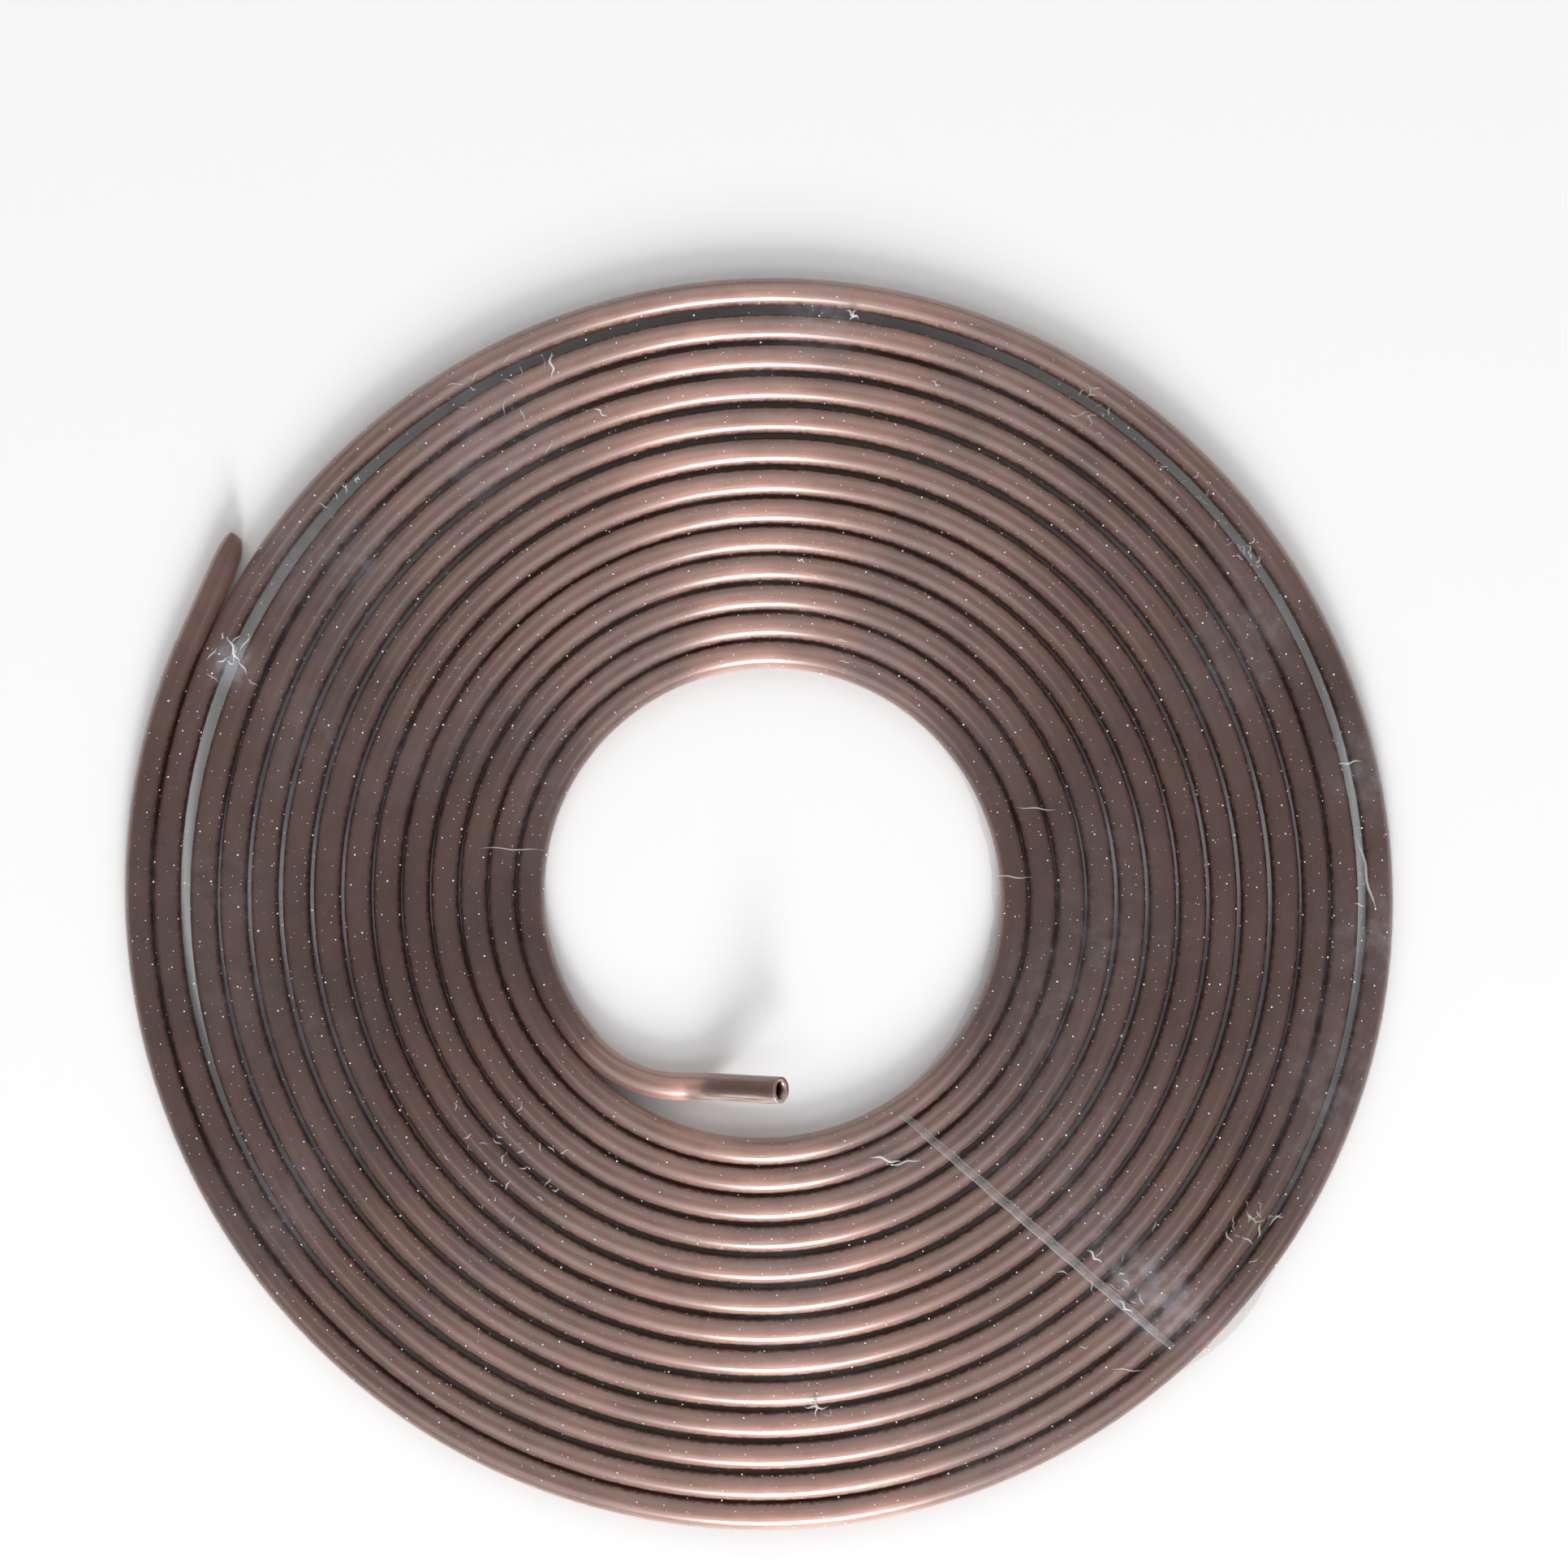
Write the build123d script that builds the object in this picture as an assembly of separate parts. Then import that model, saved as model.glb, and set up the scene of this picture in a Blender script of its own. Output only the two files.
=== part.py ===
"""Flat coil of soft copper tube in one layer, sealed in clear film, lying flat.

Millimetres, +Z up. The origin is on the floor, under the middle of the footprint.
Seen from above, the tube runs clockwise from the eye outwards.
"""
import os

from build123d import *

# Tube
tube_od = 6.35
tube_wall = 0.8

# Winding: close in the middle, looser outwards, the last turn slack
turns = 13
eye_radius = 50.45
inner_gap = 0.3
outer_gap = 0.81
outer_slack = 0.8
loose_quarters = 5
inner_end_sweep = 85.0
outer_end_sweep = 69.0

# Inner end: bent into the eye, raised off the floor and cut square
entry_bend_radius = 28.0
entry_bend_sweep = 50.0
lift_radius = 18.0
lift_angle = 33.0
stub_length = 16.0
cut_rounding = 0.25

# Outer end: runs straight out of the film and is pinched shut from one side to an upright edge
free_end_length = 17.3
pinch_length = 8.0
pinch_shares = (0.4, 0.75, 0.92)
pinch_solid = 1.0
pinch_slit = 0.2

# Film
film_thickness = 0.15
film_clearance = 0.2
seam_width = 2.2
seam_thickness = 0.3
seam_angle = -41.0
seam_offset = -16.7
seam_margin = 0.8

# Derived sizes
tube_radius = tube_od / 2
bore_radius = tube_radius - tube_wall
first_radius = eye_radius + tube_radius
quarters = 4 * turns
film_radius = tube_radius + film_clearance
film_outside = film_radius + film_thickness
up = Vector(0, 0, 1)


def quarter_radius(count):
    """Radius of a quarter turn, which grows by the tube and its gap."""
    turn = count / 4
    growth = turn * (tube_od + inner_gap) + turn**2 * (outer_gap - inner_gap) / (2 * turns)
    slack = outer_slack if count > quarters - loose_quarters else 0
    return first_radius + growth + slack


# Winding: quarter turns in the plane of the tube's axis, each tangent to the one before
sweeps = [inner_end_sweep] + [90] * (quarters - 1) + [outer_end_sweep]
start_angle = 135 + inner_end_sweep
place = Vector(first_radius, 0, 0).rotate(Axis.Z, start_angle)
heading = Vector(0, -1, 0).rotate(Axis.Z, start_angle)
winding = []
for count, swept in enumerate(sweeps):
    arc = JernArc(place, heading, quarter_radius(count), -swept)
    winding.append(arc)
    place, heading = arc @ 1, arc % 1
free_end = Line(place, place + heading * free_end_length)

# Inner end: a bend in the plane of the coil, a bend upwards and a straight stub
entry = JernArc(winding[0] @ 0, -(winding[0] % 0), entry_bend_radius, entry_bend_sweep)
inwards = entry % 1
upright = Plane(origin=entry @ 1, x_dir=inwards, z_dir=inwards.cross(up))
lift = upright * JernArc((0, 0), (1, 0), lift_radius, lift_angle)
stub = Line(lift @ 1, lift @ 1 + (lift % 1) * stub_length)

# Copper tube: the ring section carried along the whole run, its cut rim rounded
run = Wire([stub, lift, entry] + winding + [free_end])
cut_plane = Plane(origin=stub @ 1, z_dir=-(stub % 1))
copper_tube = sweep(cut_plane * (Circle(tube_radius) - Circle(bore_radius)), path=run)
rims = copper_tube.edges().filter_by(GeomType.CIRCLE).sort_by_distance(stub @ 1)[:2]
copper_tube = fillet(rims.sort_by(SortBy.RADIUS)[-1], cut_rounding)

# Pinched end: straight on its outer side, rounding in from the inner side, its bore closing inside
end_plane = Plane(origin=free_end @ 1, x_dir=up.cross(heading), z_dir=heading)


def pinched(share, thinner, last_width):
    """Section of the nose or, thinner by the wall, of its bore, at a share of the pinch."""
    width = last_width + (tube_radius - thinner - last_width) * (1 - share**2) ** 0.5
    aside = tube_radius - thinner - width
    station = end_plane.offset(share * (pinch_length - thinner / tube_wall * pinch_solid))
    return station * Pos(aside) * Ellipse(width, tube_radius - thinner)


nose_shares = [0, *pinch_shares, 1]
nose = loft([pinched(share, 0, tube_wall) for share in nose_shares])
copper_tube += nose - loft([pinched(share, tube_wall, pinch_slit) for share in nose_shares])

# Film: a flat cover above and below, joined by half-round walls along the last and first turns
last_turn = Wire(winding[-4:])
first_turn = Wire(winding[:4])


def closed(loop):
    """The loop with a straight line from its end back to its start."""
    return Wire(loop.edges() + [Line(loop @ 1, loop @ 0).edge()])


def film_wall(loop, side):
    """Half-round wall of film along a loop, on its outer (1) or its inner (-1) side."""
    section = Plane(origin=loop @ 0, x_dir=up.cross(loop % 0) * side, z_dir=loop % 0)
    half_ring = split(Circle(film_outside) - Circle(film_radius), Plane.YZ)
    return sweep(section * half_ring, path=loop)


outline = Face(closed(last_turn), [closed(first_turn)])
cover = extrude(outline, film_thickness, dir=up)
film_wrap = Pos(0, 0, film_radius) * cover + Pos(0, 0, -film_outside) * cover
film_wrap += film_wall(last_turn, 1) + film_wall(first_turn, -1)

# Welded seam: a straight double strip on the flat of the upper cover, from the eye to the rim
reach = 2 * quarter_radius(quarters)
strip = Rot(0, 0, seam_angle) * Pos(reach / 2, seam_offset) * Rectangle(reach, seam_width)
flat = offset(Face(closed(last_turn)), -seam_margin) - offset(Face(closed(first_turn)), seam_margin)
film_wrap += Pos(0, 0, film_outside) * extrude(strip & flat, seam_thickness, dir=up)

# Set down on the floor, centred on the footprint
pieces = {"copper_tube": copper_tube, "film_wrap": film_wrap}
box = Compound(list(pieces.values())).bounding_box()
to_floor = Pos(-box.center().X, -box.center().Y, -box.min.Z)
os.makedirs("parts", exist_ok=True)
for name, piece in pieces.items():
    export_step(to_floor * piece, f"parts/{name}.step")
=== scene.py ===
"""Copper tube coil, dressed: one layer of soft copper tube wound flat and sealed in clear film."""

import logging
import math
from dataclasses import dataclass, field
from enum import Enum

import bpy
import numpy as np
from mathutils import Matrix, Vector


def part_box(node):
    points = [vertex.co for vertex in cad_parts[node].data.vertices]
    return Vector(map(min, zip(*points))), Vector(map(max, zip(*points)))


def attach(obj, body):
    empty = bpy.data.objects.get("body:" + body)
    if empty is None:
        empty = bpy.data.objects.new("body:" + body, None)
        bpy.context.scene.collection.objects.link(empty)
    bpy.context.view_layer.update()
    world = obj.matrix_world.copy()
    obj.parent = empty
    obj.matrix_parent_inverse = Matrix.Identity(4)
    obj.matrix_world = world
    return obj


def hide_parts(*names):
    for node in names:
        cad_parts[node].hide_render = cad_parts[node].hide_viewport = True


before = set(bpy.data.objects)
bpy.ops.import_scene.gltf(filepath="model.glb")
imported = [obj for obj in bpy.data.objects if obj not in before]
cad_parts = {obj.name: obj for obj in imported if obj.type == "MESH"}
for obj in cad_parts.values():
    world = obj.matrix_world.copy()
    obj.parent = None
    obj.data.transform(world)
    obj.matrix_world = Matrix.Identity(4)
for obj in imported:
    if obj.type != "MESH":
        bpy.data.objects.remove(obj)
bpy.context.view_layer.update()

log = logging.getLogger("copper_coil")
MM = 0.001

Colour = tuple[float, float, float, float]
Spot = tuple[float, float]
Point = tuple[float, float, float]


class FilmSide(Enum):
    """Which edge of the ring a half-round film wall closes."""

    OUTER = 1.0
    INNER = -1.0


def smooth(low: float, high: float, value: np.ndarray) -> np.ndarray:
    """Smooth step from 0 at low to 1 at high.

    Args:
        low: Where the step starts.
        high: Where the step ends.
        value: Values to place on the step.

    Returns:
        The step's height at each value.
    """
    share = np.clip((value - low) / (high - low), 0.0, 1.0)
    return share * share * (3.0 - 2.0 * share)


def mesh_piece(name: str, points: np.ndarray, faces: list[tuple[int, ...]]) -> bpy.types.Object:
    """Smooth-shaded mesh object from points and faces.

    Args:
        name: Name of the piece.
        points: Vertex positions in metres.
        faces: Vertex numbers of each face.

    Returns:
        The new object, linked to the scene.
    """
    mesh = bpy.data.meshes.new(name)
    mesh.from_pydata(points.tolist(), [], faces)
    mesh.validate()
    mesh.polygons.foreach_set("use_smooth", [True] * len(mesh.polygons))
    mesh.update()
    piece = bpy.data.objects.new(name, mesh)
    bpy.context.collection.objects.link(piece)
    return piece


def add_measure(piece: bpy.types.Object, name: str, values: np.ndarray) -> None:
    """Store one number per vertex for the finish to read.

    Args:
        piece: The piece that carries the numbers.
        name: Name of the measure.
        values: One number for each vertex.
    """
    layer = piece.data.attributes.new(name, "FLOAT", "POINT")
    layer.data.foreach_set("value", np.asarray(values, dtype=np.float32))


def add_ways(piece: bpy.types.Object, name: str, ways: np.ndarray) -> None:
    """Store one direction per vertex for the finish to read.

    Args:
        piece: The piece that carries the directions.
        name: Name of the directions.
        ways: One vector for each vertex.
    """
    layer = piece.data.attributes.new(name, "FLOAT_VECTOR", "POINT")
    layer.data.foreach_set("vector", np.asarray(ways, dtype=np.float32).ravel())


def grid_faces(rows: int, columns: int, start: int = 0,
               closed: bool = True) -> list[tuple[int, ...]]:
    """Quads between neighbouring rows of points.

    Args:
        rows: Number of rows.
        columns: Points in a row.
        start: Number of the first point.
        closed: Whether each row closes on itself.

    Returns:
        The faces as tuples of point numbers.
    """
    faces = []
    for row in range(rows - 1):
        here = start + row * columns
        for column in range(columns if closed else columns - 1):
            following = (column + 1) % columns
            faces.append((here + column, here + following,
                          here + columns + following, here + columns + column))
    return faces


class NodeBench:
    """Small helper that lays out and links the nodes of one material."""

    def __init__(self, name: str) -> None:
        """Start an empty material with its output node."""
        self.material = bpy.data.materials.new(name)
        self.material.use_nodes = True
        self.tree = self.material.node_tree
        self.tree.nodes.clear()
        self.output = self.tree.nodes.new("ShaderNodeOutputMaterial")

    def add(self, kind: str, **settings: object) -> bpy.types.Node:
        """Add a node.

        Args:
            kind: Blender's node type, without the ShaderNode prefix.
            **settings: Properties of the node, or input values by socket name with _ for spaces.

        Returns:
            The new node.
        """
        node = self.tree.nodes.new("ShaderNode" + kind)
        for key, value in settings.items():
            if hasattr(node, key) and key not in node.inputs:
                setattr(node, key, value)
            else:
                node.inputs[key.replace("_", " ")].default_value = value
        return node

    def link(self, source: bpy.types.NodeSocket, target: bpy.types.NodeSocket) -> None:
        """Link an output socket to an input socket."""
        self.tree.links.new(source, target)

    def math(self, operation: str, first: object, second: object = 0.0) -> bpy.types.NodeSocket:
        """Math node on two sockets or numbers.

        Args:
            operation: Name of the sum.
            first: Socket or number.
            second: Socket or number.

        Returns:
            The result socket.
        """
        node = self.tree.nodes.new("ShaderNodeMath")
        node.operation = operation
        for slot, value in enumerate((first, second)):
            if isinstance(value, bpy.types.NodeSocket):
                self.link(value, node.inputs[slot])
            else:
                node.inputs[slot].default_value = value
        return node.outputs[0]

    def ramp(self, source: bpy.types.NodeSocket, low: float, high: float,
             out_low: float = 0.0, out_high: float = 1.0) -> bpy.types.NodeSocket:
        """Clamped straight ramp of a socket.

        Args:
            source: Socket to read.
            low: Value that gives out_low.
            high: Value that gives out_high.
            out_low: Result at low.
            out_high: Result at high.

        Returns:
            The result socket.
        """
        node = self.tree.nodes.new("ShaderNodeMapRange")
        for slot, value in enumerate((low, high, out_low, out_high), start=1):
            node.inputs[slot].default_value = value
        self.link(source, node.inputs[0])
        return node.outputs[0]

    def blend(self, share: bpy.types.NodeSocket, first: object,
              second: object) -> bpy.types.NodeSocket:
        """Colour mix of two colours or sockets.

        Args:
            share: Socket that is 0 for the first and 1 for the second.
            first: Colour or socket.
            second: Colour or socket.

        Returns:
            The mixed colour socket.
        """
        node = self.tree.nodes.new("ShaderNodeMix")
        node.data_type = "RGBA"
        self.link(share, node.inputs["Factor"])
        for name, value in (("A", first), ("B", second)):
            socket = next(s for s in node.inputs if s.name == name and s.type == "RGBA")
            if isinstance(value, bpy.types.NodeSocket):
                self.link(value, socket)
            else:
                socket.default_value = value
        return next(s for s in node.outputs if s.type == "RGBA")

    def noise(self, place: bpy.types.NodeSocket, scale: float, detail: float,
              roughness: float) -> bpy.types.NodeSocket:
        """Noise texture.

        Args:
            place: Socket with the place on the piece.
            scale: Size of the pattern.
            detail: Octaves of finer noise.
            roughness: Weight of the finer noise.

        Returns:
            The noise's value socket.
        """
        node = self.add("TexNoise", Scale=scale, Detail=detail, Roughness=roughness)
        self.link(place, node.inputs["Vector"])
        return node.outputs["Fac"]

    def relief(self, shader: bpy.types.Node, height: bpy.types.NodeSocket, strength: float,
               depth: float) -> None:
        """Bump the shader's surface.

        Args:
            shader: The shader to bump.
            height: Socket with the relief's height.
            strength: Share of the bump that shows.
            depth: Depth of the relief in metres.
        """
        bump = self.add("Bump", Strength=strength, Distance=depth)
        self.link(height, bump.inputs["Height"])
        self.link(bump.outputs[0], shader.inputs["Normal"])

    def measure(self, name: str) -> bpy.types.NodeSocket:
        """Socket that reads a number stored on the piece's vertices."""
        return self.add("Attribute", attribute_name=name).outputs["Fac"]

    def surface(self, shader: bpy.types.Node) -> bpy.types.Material:
        """Link the shader to the output and give the material back."""
        self.link(shader.outputs[0], self.output.inputs["Surface"])
        return self.material


@dataclass(frozen=True)
class CopperFinish:
    """Dull drawn copper with a thin brown bloom, fine draw lines, painted shade between turns and a
    few scuffs that are partly a painted highlight.
    """

    bright: Colour = (0.50, 0.289, 0.236, 1.0)
    bloom: Colour = (0.34, 0.204, 0.170, 1.0)
    # Painted shade: dark brown laid on the tube's sides where neighbouring turns shade them.
    painted_gap_shade: Colour = (0.12, 0.060, 0.045, 1.0)
    # Light colour of the scuffs on the inner end's lower side, which is partly a painted highlight.
    scuff_highlight_colour: Colour = (0.80, 0.66, 0.60, 1.0)
    roughness: float = 0.57
    drawn: float = 0.95
    sheen: float = 1.0
    sheen_roughness: float = 0.24
    sheen_ior: float = 1.8
    line_strength: float = 0.14
    line_depth: float = 0.0003
    lines_along: float = 70.0
    lines_around: float = 16.0
    cloud_scale: float = 45.0
    speckle_scale: float = 700.0
    ragged: float = 0.25
    rubbed_roughness: float = 0.2
    rubbed_metal: float = 0.3

    def draw_lines(self, bench: NodeBench) -> bpy.types.NodeSocket:
        """Fine lines that run along the tube.

        Args:
            bench: The material's bench.

        Returns:
            Socket with the lines' height.
        """
        lines = bench.add("CombineXYZ")
        along = bench.math("MULTIPLY", bench.measure("along"), self.lines_along)
        around = bench.math("MULTIPLY", bench.measure("around"), self.lines_around)
        bench.link(along, lines.inputs["X"])
        bench.link(around, lines.inputs["Y"])
        return bench.noise(lines.outputs[0], 1.0, 3.0, 0.7)

    def material(self) -> bpy.types.Material:
        """Build the copper material.

        Returns:
            The material.
        """
        bench = NodeBench("drawn_copper")
        shader = bench.add("BsdfPrincipled", Anisotropic=self.drawn, Coat_Weight=self.sheen,
                           Coat_Roughness=self.sheen_roughness, Coat_IOR=self.sheen_ior)
        across = bench.add("Attribute", attribute_name="across")
        bench.link(across.outputs["Vector"], shader.inputs["Tangent"])
        place = bench.add("TexCoord").outputs["Object"]
        cloud = bench.noise(place, self.cloud_scale, 3.0, 0.6)
        drawn = self.draw_lines(bench)
        dull = bench.blend(bench.ramp(cloud, 0.35, 0.68), self.bright, self.bloom)
        # Painted shade between turns, with a ragged edge from fine noise.
        speckle = bench.noise(place, self.speckle_scale, 1.0, 0.6)
        edge = bench.ramp(speckle, 0.3, 0.7, -self.ragged, self.ragged)
        painted_shade = bench.math("ADD", bench.measure("painted_gap_shade"), edge)
        dull = bench.blend(bench.ramp(painted_shade, 0.2, 0.8), dull, self.painted_gap_shade)
        # Scuffs on the inner end's lower side, partly a painted highlight: lighter, rougher and
        # less metallic.
        scuff_and_highlight = bench.math("MULTIPLY", bench.measure("scuff_and_painted_highlight"), bench.ramp(drawn, 0.35, 0.55))
        bench.link(bench.blend(scuff_and_highlight, dull, self.scuff_highlight_colour), shader.inputs["Base Color"])
        rough = bench.math("ADD", bench.ramp(drawn, 0.3, 0.7, -0.06, 0.09), self.roughness)
        rough = bench.math("ADD", rough, bench.math("MULTIPLY", scuff_and_highlight, self.rubbed_roughness))
        bench.link(rough, shader.inputs["Roughness"])
        metal = bench.ramp(scuff_and_highlight, 0.0, 1.0, 1.0, self.rubbed_metal)
        bench.link(metal, shader.inputs["Metallic"])
        bench.relief(shader, drawn, self.line_strength, self.line_depth)
        return bench.surface(shader)


@dataclass(frozen=True)
class Specks:
    """Scattered white specks: cells in a metre, radius in cells, share of cells, and whiteness."""

    scale: float
    size: float
    share: float
    whiteness: float


@dataclass(frozen=True)
class FilmFinish:
    """Clear packing film: nearly unseen, with bluish haziness that is partly a painted sheen of the
    sky, white specks, and whitish creases that are partly painted glints.
    """

    plain: Colour = (0.05, 0.036, 0.032, 1.0)
    # Bluish tint of the haziness, which is partly a painted sheen of the sky.
    haze_and_sheen_tint: Colour = (0.66, 0.65, 0.71, 1.0)
    # White of the dust specks and of the creases, whose whiteness is partly a painted glint.
    white: Colour = (0.95, 0.95, 0.95, 1.0)
    clear: float = 0.09
    haze_and_sheen: float = 0.06
    densest: float = 0.92
    roughness: float = 0.22
    ior: float = 1.45
    patch_scale: float = 20.0
    fine_scale: float = 260.0
    crinkle_strength: float = 0.3
    crinkle_depth: float = 0.0004
    coarse_specks: Specks = Specks(170.0, 0.036, 0.75, 0.75)
    fine_specks: Specks = Specks(420.0, 0.060, 0.45, 0.42)

    def specks(self, bench: NodeBench, place: bpy.types.NodeSocket,
               kind: Specks) -> bpy.types.NodeSocket:
        """Scattered round specks, one at most in each cell.

        Args:
            bench: The material's bench.
            place: Socket with the place on the film.
            kind: How many, how large and how white they are.

        Returns:
            Socket with the specks' whiteness, 0 beside them.
        """
        cells = bench.add("TexVoronoi", voronoi_dimensions="2D", feature="F1", Scale=kind.scale)
        bench.link(place, cells.inputs["Vector"])
        pick = bench.add("SeparateColor")
        bench.link(cells.outputs["Color"], pick.inputs["Color"])
        reach = bench.ramp(pick.outputs["Green"], 0.0, 1.0, 0.4 * kind.size, kind.size)
        near = bench.math("LESS_THAN", cells.outputs["Distance"], reach)
        chosen = bench.math("LESS_THAN", pick.outputs["Red"], kind.share)
        return bench.math("MULTIPLY", bench.math("MULTIPLY", near, chosen), kind.whiteness)

    def material(self) -> bpy.types.Material:
        """Build the film material.

        Returns:
            The material.
        """
        bench = NodeBench("clear_film")
        shader = bench.add("BsdfPrincipled", Roughness=self.roughness, IOR=self.ior)
        place = bench.add("TexCoord").outputs["Object"]
        # Bluish haziness, partly a painted sheen of the sky: patches drifting across the film, with
        # fine mottling.
        patch = bench.noise(place, self.patch_scale, 3.0, 0.6)
        fine = bench.noise(place, self.fine_scale, 2.0, 0.65)
        drifting_haze_and_sheen = bench.ramp(patch, 0.45, 0.75, 0.0, self.haze_and_sheen)
        haze_and_sheen_amount = bench.math("ADD", drifting_haze_and_sheen, bench.measure("haze_and_sheen"))
        mottled_haze_and_sheen = bench.math("MULTIPLY", haze_and_sheen_amount, bench.ramp(fine, 0.35, 0.65, 0.5, 1.3))
        dots = bench.math("MAXIMUM", self.specks(bench, place, self.coarse_specks),
                          self.specks(bench, place, self.fine_specks))
        # Whitened seam and creases; on the creases the white is partly a painted glint.
        marks = bench.math("MAXIMUM", dots, bench.measure("crease_and_glint"))
        veil = bench.blend(bench.ramp(mottled_haze_and_sheen, 0.0, 0.14, 0.0, 0.85), self.plain, self.haze_and_sheen_tint)
        whole_colour = bench.blend(bench.ramp(marks, 0.0, 0.15), veil, self.white)
        bench.link(whole_colour, shader.inputs["Base Color"])
        whole = bench.math("ADD", bench.math("ADD", mottled_haze_and_sheen, self.clear), marks)
        bench.link(bench.math("MINIMUM", whole, self.densest), shader.inputs["Alpha"])
        bench.relief(shader, fine, self.crinkle_strength, self.crinkle_depth)
        return bench.surface(shader)


@dataclass(frozen=True)
class FloorFinish:
    """Plain white floor."""

    white: Colour = (0.95, 0.95, 0.95, 1.0)

    def material(self) -> bpy.types.Material:
        """Build the floor material.

        Returns:
            The material.
        """
        bench = NodeBench("white_floor")
        return bench.surface(bench.add("BsdfDiffuse", Color=self.white))


@dataclass(frozen=True)
class Stray:
    """How far the winding has strayed at one turn: outwards, to the right and to the top."""

    turn: float
    outwards: float
    right: float
    top: float


@dataclass(frozen=True)
class Push:
    """A short stretch where a turn lies further out, or further in, than its neighbours."""

    turn: float
    reach: float
    outwards: float


@dataclass
class TubeRoute:
    """Centre line of the wound tube: quarter turns, each tangent to the last, and two free ends."""

    tube_od: float = 6.35 * MM
    turns: int = 13
    eye_radius: float = 50.45 * MM
    inner_gap: float = 0.3 * MM
    outer_gap: float = 0.81 * MM
    outer_slack: float = 0.8 * MM
    loose_quarters: int = 5
    inner_end_sweep: float = 85.0
    outer_end_sweep: float = 69.0
    entry_bend_radius: float = 28.5 * MM
    entry_bend_sweep: float = 50.0
    lift_radius: float = 18.0 * MM
    lift_angle: float = 33.0
    stub_length: float = 16.0 * MM
    free_end_length: float = 17.3 * MM
    under_tube: float = 0.35 * MM
    wander: float = 0.04 * MM
    strays: tuple[Stray, ...] = (
        Stray(0.0, 0.4 * MM, 0.5 * MM, 0.6 * MM),
        Stray(3.0, 0.0 * MM, 0.5 * MM, 0.6 * MM),
        Stray(6.5, 0.1 * MM, 1.1 * MM, -0.3 * MM),
        Stray(10.0, 0.7 * MM, 1.0 * MM, -0.1 * MM),
        Stray(12.0, 0.6 * MM, 0.3 * MM, -0.4 * MM),
        Stray(13.2, 0.0 * MM, 0.0 * MM, 0.0 * MM),
    )
    pushes: tuple[Push, ...] = (Push(12.16, 0.16, 0.5 * MM), Push(11.18, 0.17, -0.65 * MM))
    radii: np.ndarray = field(init=False)
    starts: np.ndarray = field(init=False)
    centres: np.ndarray = field(init=False)
    shift: np.ndarray = field(init=False)

    def __post_init__(self) -> None:
        """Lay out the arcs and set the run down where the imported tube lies."""
        sweeps = [self.inner_end_sweep] + [90.0] * (4 * self.turns - 1) + [self.outer_end_sweep]
        self.starts = np.concatenate([[0.0], np.cumsum(sweeps)])
        self.radii = np.array([self.quarter_radius(count) for count in range(len(sweeps))])
        self.centres = np.zeros((len(sweeps), 2))
        place = (self.eye_radius + self.tube_od / 2) * self.outward(np.array([0.0]))[0]
        for count, radius in enumerate(self.radii):
            self.centres[count] = place - radius * self.outward(self.starts[count:count + 1])[0]
            place = self.centres[count] + radius * self.outward(self.starts[count + 1:count + 2])[0]
        self.shift = np.zeros(2)
        low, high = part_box("copper_tube")
        plan = self.plan(np.arange(0.0, self.length_angle, 0.25), even=True)
        middle = (plan.min(axis=0) + plan.max(axis=0)) / 2
        self.shift = np.array([(low[0] + high[0]) / 2, (low[1] + high[1]) / 2]) - middle

    @property
    def length_angle(self) -> float:
        """Whole turn of the winding in degrees, up to where the free end starts."""
        return float(self.starts[-1])

    @property
    def axis_height(self) -> float:
        """Height of the tube's axis over the floor."""
        return self.under_tube + self.tube_od / 2

    def quarter_radius(self, count: int) -> float:
        """Radius of a quarter turn.

        Args:
            count: Number of the quarter, from the eye.

        Returns:
            The radius of its centre line.
        """
        turn = count / 4
        growth = turn * (self.tube_od + self.inner_gap)
        growth += turn**2 * (self.outer_gap - self.inner_gap) / (2 * self.turns)
        slack = self.outer_slack if count > 4 * self.turns - self.loose_quarters else 0.0
        return self.eye_radius + self.tube_od / 2 + growth + slack

    def outward(self, turned: np.ndarray) -> np.ndarray:
        """Plan direction away from the eye.

        Args:
            turned: Degrees wound from the inner end.

        Returns:
            One unit vector for each angle.
        """
        angle = np.radians(135.0 + self.inner_end_sweep - turned)
        return np.stack([np.cos(angle), np.sin(angle)], axis=-1)

    def unevenness(self, turned: np.ndarray) -> np.ndarray:
        """How far the tube strays outwards from an even winding.

        Args:
            turned: Degrees wound from the inner end.

        Returns:
            The stray in metres.
        """
        turn = turned / 360.0
        stops = np.array([stray.turn for stray in self.strays])
        step = np.clip(np.searchsorted(stops, turn, side="right") - 1, 0, len(stops) - 2)
        share = smooth(0.0, 1.0, (turn - stops[step]) / (stops[step + 1] - stops[step]))
        amount = np.array([[stray.outwards, stray.right, stray.top] for stray in self.strays])
        here = amount[step] * (1.0 - share)[:, None] + amount[step + 1] * share[:, None]
        out, phase = self.outward(turned), np.radians(turned)
        waves = (np.sin(1.13 * phase + 0.7) + 0.7 * np.sin(2.37 * phase + 2.1)
                 + 0.5 * np.sin(4.71 * phase + 4.0))
        left = self.length_angle - turned
        waves = waves * self.wander * (0.4 + turned / self.length_angle) * smooth(0.0, 90.0, left)
        for push in self.pushes:
            waves += push.outwards * smooth(push.reach, 0.0, np.abs(turn - push.turn))
        return here[:, 0] + here[:, 1] * out[:, 0] + here[:, 2] * out[:, 1] + waves

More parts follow.
